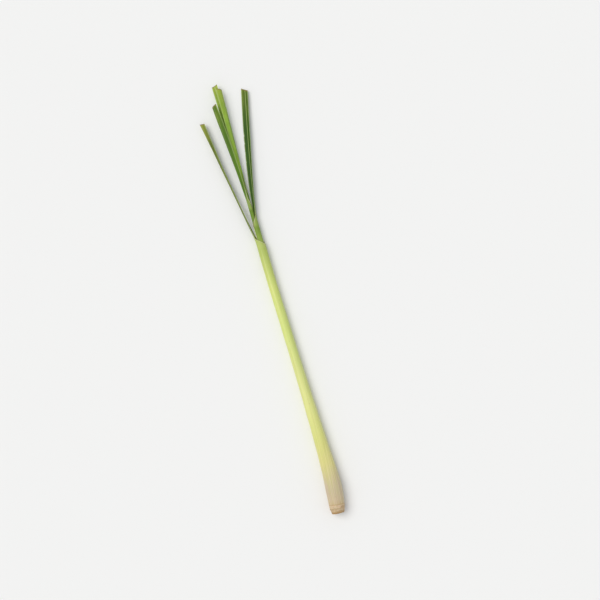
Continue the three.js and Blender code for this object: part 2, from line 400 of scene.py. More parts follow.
# %% [markdown]
# ## Paint that can be written as sums
# A material in Blender is a web of nodes. Written out one by one they hide what is meant, so a small class
# wraps a socket: a sum or a product of two of these adds the Math node for it. Colours never pass through
# Math nodes, which would turn them grey, but are blended by Mix nodes. Every other node comes from a single
# method that is given its type, its settings and its sockets.

# %% Wires
class Wire:
    """A value inside a material. Arithmetic on it adds Math nodes."""

    def __init__(self, finish, socket):
        self.finish, self.socket = finish, socket

    def math(self, operation, *values):
        return self.finish.node("ShaderNodeMath", {"operation": operation}, dict(enumerate(values)))

    def __add__(self, other):
        return self.math("ADD", self, other)

    def __sub__(self, other):
        return self.math("SUBTRACT", self, other)

    def __rsub__(self, other):
        return self.math("SUBTRACT", other, self)

    def __mul__(self, other):
        return self.math("MULTIPLY", self, other)

    def __truediv__(self, other):
        return self.math("DIVIDE", self, other)

    def __rtruediv__(self, other):
        return self.math("DIVIDE", other, self)

    def __pow__(self, other):
        return self.math("POWER", self, other)

    def __rpow__(self, other):
        return self.math("POWER", other, self)

    __radd__, __rmul__ = __add__, __mul__

    def away_from(self, place):
        """How far this wire is from a place, on either side."""
        return self.math("ABSOLUTE", self - place)

    def ridges(self, count):
        """Rounded ridges from 0 to 1, count of them for each unit of this wire, with one at 0."""
        return self.math("COSINE", self * (2 * math.pi * count)) * 0.5 + 0.5

    def rises(self, start, end):
        """The same as ease, as a node."""
        sockets = {"Value": self, "From Min": start, "From Max": end}
        return self.finish.node("ShaderNodeMapRange", {"interpolation_type": "SMOOTHSTEP"}, sockets)

    def band(self, start, full, fading, end):
        """1 from full to fading, and 0 outside start and end."""
        return self.rises(start, full) * self.rises(end, fading)

    def blend(self, low, high, how="MIX"):
        """A colour that goes from low to high as this wire goes from 0 to 1."""
        settings = {"data_type": "RGBA", "blend_type": how}
        return self.finish.node("ShaderNodeMix", settings, {0: self, 6: low, 7: high}, out=2)

    def tinted(self, *tints):
        """This colour with tints laid on in turn, each a mask, the most that it covers, and its colour."""
        colour = self
        for mask, most, tint in tints:
            colour = (mask * most).blend(colour, tint)
        return colour


print("wires know", sum(name.startswith("__r") for name in vars(Wire)), "reflected operators")

# %% Finishes
class Finish:
    """A material, and the one method that adds a node to it."""

    def __init__(self, name):
        self.material = bpy.data.materials.new(name)
        self.material.use_nodes = True
        self.tree = self.material.node_tree
        self.shader = self.tree.nodes["Principled BSDF"]

    def plug(self, socket, value):
        if isinstance(value, Wire):
            self.tree.links.new(value.socket, socket)
        else:
            socket.default_value = value

    def node(self, kind, settings=None, sockets=None, out=0):
        made = self.tree.nodes.new(kind)
        for name, value in (settings or {}).items():
            if name == "stops":
                fill_ramp(made.color_ramp, value)
            else:
                setattr(made, name, value)
        for key, value in (sockets or {}).items():
            self.plug(made.inputs[key], value)
        return Wire(self, made.outputs[out])

    def note(self, name):
        """What each point of the mesh says about itself."""
        return self.node("ShaderNodeAttribute", {"attribute_name": name}, out=2)

    def place(self, x, y, z=0.0):
        return self.node("ShaderNodeCombineXYZ", sockets={0: x, 1: y, 2: z})

    def cloud(self, where, detail=3.0, rough=0.55):
        """Soft noise from 0 to 1 with one lump for each unit of where."""
        sockets = {"Vector": where, "Scale": 1.0, "Detail": detail, "Roughness": rough}
        return self.node("ShaderNodeTexNoise", sockets=sockets)

    def bumps(self, height, strength, metres):
        sockets = {"Strength": strength, "Distance": metres, "Height": height}
        return self.node("ShaderNodeBump", sockets=sockets)

    def connect(self, **sockets):
        for name, value in sockets.items():
            self.plug(self.shader.inputs[name.replace("_", " ")], value)


def fill_ramp(ramp, stops):
    while len(ramp.elements) < len(stops):
        ramp.elements.new(1.0)
    for element, (place, colour) in zip(ramp.elements, stops):
        element.position = place
        element.color = colour


def paint(red, green, blue):
    """A colour given as it looks on a screen, from 0 to 255, as the linear light that shaders need."""
    def linear(c):
        return c / 12.92 if c <= 0.04045 else ((c + 0.055) / 1.055) ** 2.4
    return (*(linear(c / 255) for c in (red, green, blue)), 1.0)


print("a mid green in linear light:", [round(c, 3) for c in paint(120, 150, 60)])

# %% [markdown]
# ## What a leaf's paint goes by
# The colour of a leaf changes slowly along it, and on top of that come fine things that run along it. So its
# paint goes by the notes that each point keeps, and by a few noises that are stretched along the leaf, as
# plant fibres are. Its sheath, its blade and its veins share them.

# %% The notes and noises of a leaf
FINE_VEINS = 3
STREAK_ACROSS, STREAK_ALONG = 1.6, 0.035


class LeafFinish(Finish):
    """A leaf's material, with the notes and the stretched noises that its colours share."""

    def __init__(self, leaf):
        super().__init__(leaf.name + "_skin")
        for name in ("along", "past", "across", "share", "edge", "inner"):
            setattr(self, name, self.note(name))
        self.opened = self.past.rises(2.0, 24.0)
        self.from_tip = (leaf.tip - leaf.collar) - self.past
        self.sheath_ribs, self.blade_ribs = (self.share.ridges(count) for count in leaf.ribs)
        self.fine_veins = (1 - self.share.ridges(leaf.ribs[0] * FINE_VEINS)) ** 2.0
        self.streaks = self.stretched(STREAK_ACROSS, STREAK_ALONG, 9.0, detail=4.0)
        self.patches = self.stretched(0.10, 0.03, 5.0, start=3.0)
        self.bands = self.stretched(0.55, 0.010, 7.0, start=5.0)
        self.grain = self.stretched(7.0, 0.6, 9.0)

    def stretched(self, across, along, face, start=0.0, detail=2.0):
        """Noise with so many lumps in a millimetre across and along, and other ones on the inner face."""
        where = self.place(self.across * across, self.along * along, self.inner * face + start)
        return self.cloud(where, detail)


print("a leaf's streaks are", round(STREAK_ACROSS / STREAK_ALONG), "times as long as they are wide")

# %% [markdown]
# ## The sheath's colour
# In the bulb, where light never reached it, a sheath is cream with pinkish grey patches. Further up a colour
# ramp turns it straw yellow and then green. Broad bands keep it from looking sprayed on. Near the thin
# margins, which on the outer sheath lie on its right side, it is greener: partly the darker layer that shows
# through, and partly painted shade.

# %% Paint a sheath
PINK_GREY = paint(206, 182, 168)
OLIVE_BAND = paint(196, 196, 116)
PALE_BAND = paint(240, 238, 184)
SHOW_THROUGH_AND_SHADE = paint(168, 190, 92)
BULB_PART = (8.0, 20.0, 30.0, 50.0)
PALE_PART = (300.0, 250.0)
MARGIN_REACH = (9.0, 3.0)
MARGIN_TINT_RISE = (60.0, 150.0)


def sheath_colour(skin, stops):
    """stops is a list of (millimetres up the stalk, red, green, blue)."""
    reach = stops[-1][0]
    shares = [(place / reach, paint(*colour)) for place, *colour in stops]
    base = skin.node("ShaderNodeValToRGB", {"stops": shares}, {0: skin.along / reach})
    pale_part = skin.along.rises(*PALE_PART)
    near_margin = skin.edge.rises(*MARGIN_REACH) * skin.along.rises(*MARGIN_TINT_RISE)
    return base.tinted(
        (skin.along.band(*BULB_PART) * skin.patches.rises(0.42, 0.66), 0.55, PINK_GREY),
        (skin.bands.rises(0.5, 0.3) * pale_part, 0.32, OLIVE_BAND),
        (skin.bands.rises(0.52, 0.7) * pale_part, 0.3, PALE_BAND),
        # Greener near the margins: partly the layer below showing through, partly painted shade on the outer
        # sheath's shaded right side.
        (near_margin * pale_part, 0.3, SHOW_THROUGH_AND_SHADE),
    )


print("pinkish grey in linear light:", [round(c, 3) for c in PINK_GREY])

# %% [markdown]
# ## The blade's colour
# A blade that has been in the sun is a deep, clear green. Its two faces differ a little, it is lighter in
# broad patches, and from the trimmed tip it begins to turn yellow. Every blade has base colours of its own.

# %% Paint a blade
TIP_YELLOW = paint(172, 176, 66)
SUNNY_BACK, SUNNY_FACE = 1.35, 1.25
YELLOW_REACH = (38.0, 3.0)


def lighter(colour, times):
    return (*(c * times for c in colour[:3]), 1.0)


def blade_colour(skin, back, face, yellowing):
    """back and face colour the two faces, and yellowing says how far the tip has turned, up to 1."""
    sunny = skin.patches.rises(0.35, 0.7)
    back_colour = sunny.blend(back, lighter(back, SUNNY_BACK))
    face_colour = sunny.blend(face, lighter(face, SUNNY_FACE))
    turning = skin.from_tip.rises(*YELLOW_REACH) * skin.patches.rises(0.3, 0.65)
    return skin.inner.blend(back_colour, face_colour).tinted((turning, yellowing, TIP_YELLOW))


print("a lighter tip:", [round(c, 3) for c in lighter(TIP_YELLOW, SUNNY_FACE)])

# %% [markdown]
# ## Veins, streaks and the midrib
# Parallel veins are what makes a grass leaf look like one. The mesh raises them, and their furrows are
# tinted at the same shares of the width. Long light and dark streaks break them up, and the upper face has a
# whitish midrib.

# %% Paint the veins
VEIN_SHADE = paint(196, 214, 150)
LIGHT_STREAK = paint(240, 240, 196)
DARK_STREAK = paint(70, 84, 30)
PALE_MIDRIB = paint(190, 208, 132)
SHEATH_DIP, FINE_DIP, BLADE_DIP = 0.22, 0.12, 0.42
LIGHT_SHARE, DARK_SHARE = 0.30, 0.34
MIDRIB_PAINT = (0.8, 0.1)


def veined(skin, colour):
    sheath_dip = (1 - skin.sheath_ribs) ** 3.0 * SHEATH_DIP + skin.fine_veins * FINE_DIP
    blade_dip = (1 - skin.blade_ribs) ** 2.0 * BLADE_DIP
    dip = sheath_dip * (1 - skin.opened) + blade_dip * skin.opened
    colour = dip.blend(colour, VEIN_SHADE, "MULTIPLY")
    colour = (skin.streaks.rises(0.5, 0.78) * LIGHT_SHARE).blend(colour, LIGHT_STREAK, "SOFT_LIGHT")
    colour = (skin.streaks.rises(0.46, 0.24) * DARK_SHARE).blend(colour, DARK_STREAK, "SOFT_LIGHT")
    midrib = skin.across.away_from(0.0).rises(*MIDRIB_PAINT) * skin.opened * (skin.inner * 0.5 + 0.15)
    return midrib.blend(colour, PALE_MIDRIB)


print("the midrib's tone is", [round(c, 2) for c in PALE_MIDRIB[:3]])

# %% [markdown]
# ## Edges
# The collar is a paler band, the thin margins, which let light through, are pale lines, partly their own
# pale tissue and partly a painted highlight, and wherever the tissue was torn or cut it has dried: at the
# mouth of the sheath, at the ring where it grows from the stem and at the trimmed tip. Each of these is a
# narrow range of one note.

# %% Paint the edges
COLLAR_PALE = paint(200, 210, 132)
MARGIN_PALE_AND_HIGHLIGHT = paint(250, 246, 206)
MOUTH_BROWN = paint(120, 88, 44)
RING_BROWN = paint(172, 136, 92)
DRY_RIM = paint(170, 148, 88)
CUT_RIM = paint(98, 84, 46)
COLLAR_PART = (-5.0, -1.0, 5.0, 13.0)
MOUTH_PART = (-6.0, -2.0, 7.0, 12.0)
RING_REACH = 0.7


def edged(skin, colour):
    colour = colour.tinted((skin.past.band(*COLLAR_PART), 0.3, COLLAR_PALE))
    # Paler margins: partly their thin pale tissue, partly a painted highlight along the edge.
    margin = skin.edge.rises(1.0, 0.2) * (0.85 - skin.opened * 0.35)
    colour = margin.blend(colour, skin.opened.blend(MARGIN_PALE_AND_HIGHLIGHT, PALE_MIDRIB))
    return colour.tinted(
        (skin.edge.rises(0.5, 0.1) * skin.past.band(*MOUTH_PART), 0.75, MOUTH_BROWN),
        (skin.along.away_from(FIRST_RING).rises(RING_REACH, 0.1), 0.45, RING_BROWN),
        (skin.from_tip.rises(1.5, 0.5), 0.8, DRY_RIM),
        (skin.from_tip.rises(0.75, 0.3), 0.75, CUT_RIM),
    )


print("the ring is tinted from", FIRST_RING - RING_REACH, "to", FIRST_RING + RING_REACH, "mm")

# %% [markdown]
# ## Flecks, and the whole skin
# Small brown flecks sit on every fresh stalk, most of them near the base. A Voronoi texture scatters them,
# and a slow noise picks which of them show. The whole skin is softly waxy: a low gloss, a trace of coat and
# a little light that goes through the tissue.

# %% The material of a leaf
FLECK = paint(112, 78, 40)
FLECKED_BASE = (75.0, 12.0)
LEAF_GLOSS = 0.2
LEAF_BUMPS = 0.00012


def flecked(skin, colour):
    settings = {"feature": "F1", "distance": "EUCLIDEAN"}
    where = skin.place(skin.across * 0.55, skin.along * 0.20, skin.inner * 4)
    spots = skin.node("ShaderNodeTexVoronoi", settings, {"Vector": where, "Scale": 1.0})
    picked = skin.stretched(0.16, 0.05, 0.0, start=7.0, detail=1.0)
    often = skin.along.rises(*FLECKED_BASE) * 0.22 + 0.36
    return colour.tinted((spots.rises(0.11, 0.05) * (picked + often).rises(0.93, 1.0), 0.6, FLECK))


def leaf_skin(leaf, sheath, back, face, yellowing):
    """sheath is a list of stops. back and face are the blade's two colours, from 0 to 255."""
    skin = LeafFinish(leaf)
    blade = blade_colour(skin, paint(*back), paint(*face), yellowing)
    colour = skin.opened.blend(sheath_colour(skin, sheath), blade)
    colour = flecked(skin, edged(skin, veined(skin, colour)))
    height = skin.streaks * 0.5 + skin.grain * 0.35 - skin.fine_veins * 0.3
    skin.connect(
        Base_Color=colour, Roughness=skin.streaks * 0.22 + 0.36, Normal=skin.bumps(height, 0.5, LEAF_BUMPS),
        Specular_IOR_Level=LEAF_GLOSS, Coat_Weight=0.06, Coat_Roughness=0.35,
        Subsurface_Weight=0.1, Subsurface_Scale=0.0012, Subsurface_Radius=(0.7, 1.0, 0.3),
    )
    print(skin.material.name, "uses", len(skin.tree.nodes), "nodes")
    return skin.material


# %% [markdown]
# ## Growing a leaf
# The outline of the solid is followed exactly: a sleeve until the collar, an open fold past it. The skin
# adds what makes it look grown: raised veins on both faces, margins that thin out to an edge that hugs the
# layer below, waves and small nicks in the blade's edges, and a frayed cut tip.

# %% How a skin departs from its solid
THIN_EDGE = 0.18
HUG_REACH = (3.0, 0.2)
THIN_REACH = (1.6, 0.1)
RIB_HEIGHT = 0.035
SWELLING = (0.05, 0.11)
WAVE_HEIGHT = 0.14
GROOVE_DEPTH, GROOVE_WIDTH = 0.14, 0.5
TIP_FRAY, FRAY_REACH = 0.17, 1.5
NICKS_EACH_SIDE = 4
NICKS_START = 25
NICK_LENGTH = (1.8, 3.6)
NICK_DEPTH = (0.15, 0.5)


def nicks(seed, y, start, end):
    """How deep the edge is nicked at each y: a step where it tore, and a slope back to whole."""
    draw = np.random.default_rng(seed)
    depth = 0
    for place in draw.uniform(start, end, NICKS_EACH_SIDE):
        past = (y - place) / draw.uniform(*NICK_LENGTH)
        depth = depth + draw.uniform(*NICK_DEPTH) * np.where(past > 0, np.maximum(0, 1 - past), 0)
    return depth


print("the deepest nick is", nicks(12, np.arange(304, 412, 0.5), 304, 412).max().round(2), "mm")

# %% The two faces of a leaf
def leaf_points(leaf, k, y, u):
    """Outer and inner points of a leaf at places y and shares u of its half width, and what they note."""
    centre, along, out, across = section(leaf, y, leaf.back(y))
    y, u = y[:, None], u[None, :]
    radius = layer_radius(k, y)
    narrowed = ease(y, leaf.collar + NARROWING[0], leaf.collar + NARROWING[1])
    opened = ease(y, leaf.collar + OPENING[0], leaf.collar + OPENING[1])
    half = mix(math.radians(leaf.wrap) * radius, leaf.wing(y), narrowed)
    left, right = (nicks(leaf.seed + side, y, leaf.collar + NICKS_START, leaf.tip) for side in (2, 1))
    half = half - np.where(u > 0, right, left) * opened
    a = half * u
    edge = half - np.abs(a)

    turn = a / radius
    bent = np.degrees(turn)
    tuck = (MARGIN_WALL + gap(y)) * ease(-bent, LAP_START, LAP_END) if leaf.laps else 0
    sleeve_normal = out * np.cos(turn)[..., None] + across * np.sin(turn)[..., None]
    sleeve = sleeve_normal * (radius - tuck)[..., None]
    sleeve_wall = mix(layer_wall(k, y), MARGIN_WALL, ease(np.abs(bent), THINNING_START, LAP_END))

    rounded = np.hypot(a, FOLD_ROUNDING)
    depth = radius - math.sin(leaf.fold) * (rounded - FOLD_ROUNDING)
    blade = out * depth[..., None] + across * (a * math.cos(leaf.fold))[..., None]
    blade_normal = unit(out + across * (math.tan(leaf.fold) * a / rounded)[..., None])

    sheath_ribs, blade_ribs = (RIB_HEIGHT * np.cos(2 * math.pi * u * count) for count in leaf.ribs)
    sheath_rib, blade_rib = sheath_ribs * (1 - opened), blade_ribs * opened
    swelling = lumps(leaf.seed, (y, 40), (a, 15)) * mix(*SWELLING, swell(y)) * (1 - opened)
    wave = WAVE_HEIGHT * np.abs(u) ** 3 * lumps(leaf.seed + 3, (y, 30), (u, 2.2)) * opened
    midrib = MIDRIB_RISE * np.exp(-((a / MIDRIB_WIDTH) ** 2)) * opened
    groove = GROOVE_DEPTH * np.exp(-((a / GROOVE_WIDTH) ** 2)) * opened

    hug, thin = ease(edge, *HUG_REACH), ease(edge, *THIN_REACH)
    spare = MARGIN_WALL - THIN_EDGE
    lift = blade_rib + sheath_rib + swelling + wave + midrib - mix(hug * spare, thin * spare / 2, opened)
    wall = mix(mix(sleeve_wall, THIN_EDGE, hug), mix(MARGIN_WALL, THIN_EDGE, thin), opened)
    thickness = wall + midrib + 2 * blade_rib + sheath_rib + swelling - groove

    normal = unit(mix(sleeve_normal, blade_normal, opened[..., None]))
    skew = leaf.slant * ease(y, leaf.tip - CUT_REACH, leaf.tip) * a
    frayed = ragged(leaf.seed, u.size, TIP_FRAY)[None, :] * ease(y, leaf.tip - FRAY_REACH, leaf.tip)
    outer = mix(sleeve, blade, opened[..., None]) + centre
    outer = outer + along * (skew - np.abs(frayed))[..., None] + normal * lift[..., None]
    outer[..., 2] = np.maximum(outer[..., 2], 0)
    inner = outer - normal * thickness[..., None]
    inner[..., 2] = np.maximum(inner[..., 2], 0)
    notes = {"along": y, "past": y - leaf.collar, "across": a, "edge": edge, "share": u}
    return np.stack([outer, inner]), notes


# %% The rows of a leaf
SHOWN_BELOW = 14
MOUTH_BELOW, MOUTH_ABOVE = 9, 24
TIP_ROWS = 4
FOOT_STEP, HIDDEN_STEP, SHEATH_STEP, MOUTH_STEP, BLADE_STEP, TIP_STEP = 0.4, 8.0, 2.6, 0.7, 1.3, 0.5


def places_along(leaf, k):
    """Far apart where the leaf is hidden or straight, and close together at the collar and the tip."""
    ring, foot = RINGS[k], RINGS[k] + FOOT_LENGTH
    shown = RINGS[0] if k == 0 else LEAVES[k - 1].collar - SHOWN_BELOW
    mouth, free, last = leaf.collar - MOUTH_BELOW, leaf.collar + MOUTH_ABOVE, leaf.tip - TIP_ROWS
    runs = [
        [ring - gap(ring) + 0.02],
        np.arange(ring, foot, FOOT_STEP),
        np.arange(foot, shown, HIDDEN_STEP),
        np.arange(max(shown, foot), mouth, SHEATH_STEP),
        np.arange(mouth, free, MOUTH_STEP),
        np.arange(free, last, BLADE_STEP),
        np.arange(last, leaf.tip - 0.1, TIP_STEP),
        [leaf.tip],
    ]
    return np.unique(np.concatenate(runs).round(3))


def grow_leaf(leaf, k, material):
    y = places_along(leaf, k)
    points, notes = leaf_points(leaf, k, y, np.linspace(-1, 1, leaf.columns))
    notes["inner"] = np.arange(2)[:, None, None]
    return new_piece(leaf.name + "_skin", points, sheet_faces(len(y), leaf.columns), notes, material)


print("the outer leaf will have", len(places_along(LEAVES[0], 0)), "rows")

# %% [markdown]
# ## The four wrapped leaves
# Each leaf has had its own share of light: the outer sheath is the palest and yellowest, the blades inside
# are a deeper green, and the side of a blade that faced the sun is darker than its back. The sheath's
# colours are stops up the stalk, in millimetres from the cut end.

# %% Grow the wrapped leaves
# The stops from 235 mm up darken partly to the greener upper sheath and partly as painted shade.
CREAM_BASE = [
    (8, 206, 180, 145), (14, 208, 187, 158), (24, 205, 189, 157), (36, 212, 198, 154),
    (52, 224, 214, 146), (78, 222, 222, 140), (110, 228, 228, 151), (150, 224, 227, 151),
    (190, 219, 228, 142), (235, 219, 227, 136), (265, 192, 205, 116), (300, 150, 172, 78),
]
# The stops from 300 mm up are partly the deeper green of the upper sheath and partly painted shade.
INNER_SHEATH = [
    (20, 214, 206, 160), (200, 200, 214, 130), (270, 168, 188, 94), (300, 118, 148, 50), (345, 92, 128, 34),
]
LEAF_COLOURS = [
    (CREAM_BASE, (98, 111, 38), (84, 100, 30), 0.7),
    (INNER_SHEATH, (60, 96, 12), (52, 88, 10), 0.3),
    (INNER_SHEATH, (78, 112, 22), (72, 108, 18), 0.3),
    (INNER_SHEATH, (138, 170, 62), (130, 162, 54), 0.6),
]

pieces = {}
for k, leaf in enumerate(LEAVES):
    pieces[leaf.name] = grow_leaf(leaf, k, leaf_skin(leaf, *LEAF_COLOURS[k]))

# %% [markdown]
# ## The heart leaf
# The youngest leaf is still rolled up, like a spear, inside the fourth sheath. Further up it unrolls into a
# narrow cupped blade with its upper face open to the sky. One body of rings does both: every ring is round
# at the start and changes into a thin upturned trough. A shallow seam along the roll shows where its margin
# lies on itself.

# %% Shape the heart leaf
HEART_WIDTH, HEART_THICKNESS, HEART_CUP = 2.9, 0.5, 0.8
HEART_OPENS = (346, 405)
HEART_FOOT = 0.6
SEAM_TURN, SEAM_RISE = 1.1, 0.16
HEART_RIBS, HEART_RIB_HEIGHT = 12, 0.03
HEART_WAVE = 0.25
HEART_GROOVE, GROOVE_SHARE = 0.18, 0.14
THINNED_MARGIN = 0.45
HEART_FRAY, HEART_SETBACK = 0.3, 0.36
HEART_END = 2
HEART_START = STEM_TIP + gap(STEM_TIP)
HEART_TOP = HEART_START + FOOT_LENGTH


def heart_points(y, turn):
    centre, along, out, across = section(HEART, y, 90.0)
    y, turn = y[:, None], turn[None, :]
    radius = layer_radius(len(LEAVES), y) * mix(HEART_FOOT, 1, ease(y, HEART_START, HEART_TOP))
    opened = ease(y, *HEART_OPENS)
    from_seam = turn - SEAM_TURN
    seam = SEAM_RISE * ease(np.abs(from_seam), 0.5, 0.02) * np.sign(from_seam) * (1 - opened)
    rib = HEART_RIB_HEIGHT * np.cos(HEART_RIBS * turn) * np.abs(np.sin(turn))
    roll = radius + seam + rib
    share = -np.cos(turn)
    half_width = mix(roll, HEART_WIDTH, opened)
    aside = half_width * share
    thinned = mix(1, 1 - THINNED_MARGIN * share**6, opened)
    waved = HEART_WAVE * lumps(HEART.seed, (y, 26), (share, 2.0)) * share**2 * opened
    groove = HEART_GROOVE * np.exp(-((share / GROOVE_SHARE) ** 2)) * np.sign(np.sin(turn)) * opened
    rise = mix(roll, HEART_THICKNESS, opened) * np.sin(turn) * thinned
    rise = rise + HEART_CUP * opened * share**2 + waved - groove
    end = ease(y, HEART.tip - HEART_END, HEART.tip)
    frayed = (HEART_FRAY * np.abs(lumps(HEART.seed + 1, (share, 0.25))) + HEART_SETBACK) * end
    skew = HEART.slant * ease(y, HEART.tip - CUT_REACH, HEART.tip) * aside
    points = centre + across * aside[..., None] + out * rise[..., None] + along * (skew - frayed)[..., None]
    notes = {
        "along": y, "past": y - HEART.collar, "across": aside,
        "edge": half_width * (1 - np.abs(share)), "share": share, "inner": np.sin(turn) > 0,
    }
    return points, notes


print("the heart leaf stands on the stem at", HEART_START.round(2), "mm")

# %% Grow the heart leaf
heart_y = np.concatenate([
    np.linspace(HEART_START, HEART_TOP, 4),
    np.arange(HEART_START + 9, 318, 9.0),
    np.arange(320, 440, 1.6),
    np.arange(441, 445.1, 0.5),
])
heart_material = leaf_skin(HEART, INNER_SHEATH, (150, 180, 74), (148, 178, 70), 0.6)
points, notes = heart_points(heart_y, round_turns(HEART.columns))
faces = ring_faces(len(heart_y), HEART.columns)
pieces[HEART.name] = new_piece("heart_leaf_skin", points, faces, notes, heart_material)

# %% [markdown]
# ## The stem's flesh
# The stem is what is left where the roots were cut away. Its cut face is tan and fibrous: a rind, a paler
# ring and a core full of vascular bundles that show as dots. Outside it is cream, browner at the cut rim,
# with the brown scar of a leaf that was pulled off. Noises that are stretched along the stem and outwards
# give its grain and its spokes.

# %% The material of the stem
FLESH_TAN = paint(196, 168, 124)
RIM_TAN = paint(172, 136, 82)
FLESH_CREAM = paint(214, 192, 158)
CORE_CREAM = paint(224, 206, 160)
CUT_BROWN = paint(162, 126, 82)
BUD_BROWN = paint(138, 100, 60)
FIBRE_SHADE = paint(96, 70, 40)
CUT_RING = 5.0
CORE_REACH = (6.0, 3.4)
KNIFE_ACROSS, KNIFE_ALONG = 0.8, 0.6


def stem_flesh():
    flesh = Finish("stem_flesh")
    along, face, across, up, nub = map(flesh.note, ("along", "face", "across", "up", "nub"))
    outwards = (across * across + up * up) ** 0.5
    fibres = flesh.cloud(flesh.place(across * 0.9, up * 0.9, along * 0.08), 4.0, 0.65)
    blotches = flesh.cloud(flesh.place(across * 0.25, up * 0.25, along * 0.3))

    side = along.rises(0.0, 4.0).blend(RIM_TAN, FLESH_CREAM).tinted(
        (blotches.rises(0.5, 0.68), 0.35, CUT_BROWN),
        (nub.rises(0.45, 0.95), 0.6, BUD_BROWN),
        (along.away_from(SCAR_AT + 0.2).rises(0.7, 0.1) * fibres, 0.5, BUD_BROWN),
    )

    bundles = flesh.node("ShaderNodeTexVoronoi", sockets={"Vector": flesh.place(across, up), "Scale": 1.9})
    over_knife = (across * KNIFE_ACROSS + up * KNIFE_ALONG) * 2.2
    with_knife = (up * KNIFE_ACROSS - across * KNIFE_ALONG) * 0.14
    knife = flesh.cloud(flesh.place(over_knife, with_knife))
    spokes = flesh.cloud(flesh.place(across / outwards * 9, up / outwards * 9, outwards * 0.3), 2.0)
    core = outwards.rises(*CORE_REACH).blend(FLESH_TAN, CORE_CREAM).tinted(
        (bundles.rises(0.26, 0.12) * outwards.rises(5.2, 4.4), 0.8, BUD_BROWN),
        (knife.rises(0.52, 0.74), 0.4, CUT_BROWN),
        (outwards.away_from(CUT_RING).rises(0.5, 0.0), 0.65, BUD_BROWN),
        (spokes.rises(0.45, 0.7) * outwards.rises(CUT_RING, CUT_RING + 0.6), 0.6, CUT_BROWN),
        (blotches.rises(0.55, 0.75), 0.5, BUD_BROWN),
    )

    colour = (fibres.rises(0.62, 0.36) * 0.4).blend(face.blend(side, core), FIBRE_SHADE, "SOFT_LIGHT")
    flesh.connect(
        Base_Color=colour, Roughness=fibres * 0.25 + 0.6, Normal=flesh.bumps(fibres, 0.8, 0.0002),
        Subsurface_Weight=0.08, Subsurface_Scale=0.001,
    )
    return flesh.material


stem_material = stem_flesh()
print("the stem's material is", stem_material.name)

# %% [markdown]
# ## The stem
# The knife leaves the end flat but not smooth. The cut face is made of rings of points from the middle
# outwards, so that it can carry the knife's marks and the ends of fibres. The same rings run on over the
# rounded rim, up the outside and over the scar. Behind the first leaf's ring the stem steps in where each
# sheath is attached.

# %% Shape the stem
STEM_COLUMNS = 160
FACE_RINGS, RIM_RINGS = 36, 5
SIDE_STEP = 0.16
EDGE_ROUNDING = 0.2
NUBS, NUB_HEIGHT, NUB_RING = 11, 0.3, 7.6
CHIP_DEPTH = 0.45
SCAR_WANDER, SCAR_WIDTH = 0.35, 0.5
TORN_DEPTH = 0.05
STEM_LUMPS = 0.12
KNIFE_DEPTH = 0.07
BUNDLE_HEIGHT, SPECKLE = 0.05, 0.0001
RING_DEPTH, RING_WIDTH = 0.22, 0.4


def root_nubs(seed, y, turn):
    """Small round buds where roots would have grown, just above the scar, from 0 to 1."""
    draw = np.random.default_rng(seed)
    nub = 0
    for place in round_turns(NUBS):
        at = place + draw.uniform(-0.25, 0.25)
        up = draw.uniform(6.1, 8.0)
        width = draw.uniform(0.35, 0.6)
        aside = (turn - at + math.pi) % (2 * math.pi) - math.pi
        nub = nub + np.exp(-((aside * NUB_RING / width) ** 2) - ((y - up) / width) ** 2)
    return nub


def stem_rings():
    """The rim's radius, and place and radius of each ring on the face, round the rim and up the outside."""
    rim = stalk_radius(0) - EDGE_ROUNDING
    face = [(0, radius) for radius in np.linspace(0.06, rim - 0.05, FACE_RINGS)]
    bend = np.linspace(0, math.pi / 2, RIM_RINGS)
    rounded = [(EDGE_ROUNDING * (1 - math.cos(b)), rim + EDGE_ROUNDING * math.sin(b)) for b in bend]
    outside = [on_surface(y) for y in np.arange(EDGE_ROUNDING + 0.15, hidden_outline[0][0] - 0.1, SIDE_STEP)]
    return rim, face + rounded + outside


def stem_points(seed):
    rim, shown = stem_rings()
    y, radius = (part[:, None] for part in np.array(shown + hidden_outline, float).T)
    at = round_turns(STEM_COLUMNS)[None, :]
    visible = np.arange(len(y))[:, None] < len(shown)
    on_face = ease(radius, rim, rim - 0.3) * (y < EDGE_ROUNDING)
    scar_line = SCAR_AT + SCAR_WANDER * lumps(seed, (at, 2 * math.pi / 3))
    scar = SCAR_RISE * np.exp(-(((y - scar_line) / SCAR_WIDTH) ** 2))
    torn = TORN_DEPTH * lumps(seed + 1, (at, 0.22), (y, 1.6)) * ease(y, 9.0, 2.0)
    bulge = STEM_LUMPS * lumps(seed + 2, (at, math.pi), (y, 9))
    nub = root_nubs(seed + 7, y, at)
    chips = CHIP_DEPTH * np.maximum(0, lumps(seed + 8, (at, 0.45)) - 0.35) * ease(y, 1.3, 0.1)
    radius = radius + visible * (1 - on_face) * (scar + torn + bulge + NUB_HEIGHT * nub - chips)

    across, up = radius * np.sin(at), radius * np.cos(at)
    knife = KNIFE_DEPTH * lumps(seed + 3, (across * KNIFE_ACROSS + up * KNIFE_ALONG, 0.9))
    # SPECKLE is so short a wave that every point of the face gets a height of its own.
    bundles = BUNDLE_HEIGHT * lumps(seed + 4, (across, 1.1), (up, SPECKLE)) * lumps(seed + 5, (up, 1.2))
    sunk = RING_DEPTH * np.exp(-(((radius - CUT_RING) / RING_WIDTH) ** 2))
    points = round_stalk(y[:, 0], radius, at)
    points[..., 1] = points[..., 1] + on_face * (sunk + knife + bundles)
    return points, {"along": y, "face": on_face, "across": across, "up": up, "nub": nub}


points, notes = stem_points(61)
stem_faces = ring_faces(*points.shape[:2])
pieces["stem_base"] = new_piece("stem_skin", points, stem_faces, notes, stem_material)

# %% [markdown]
# ## Membranes and torn fibres
# Where a blade leaves its sheath, a thin dry membrane stands up against the next sheath: a strip bent round
# the stalk, with a ragged upper edge. The same strip, made lower and browner, is the rest of the leaf that
# was pulled off at the scar. Round the cut rim the knife leaves short fibres, each a thin cone.

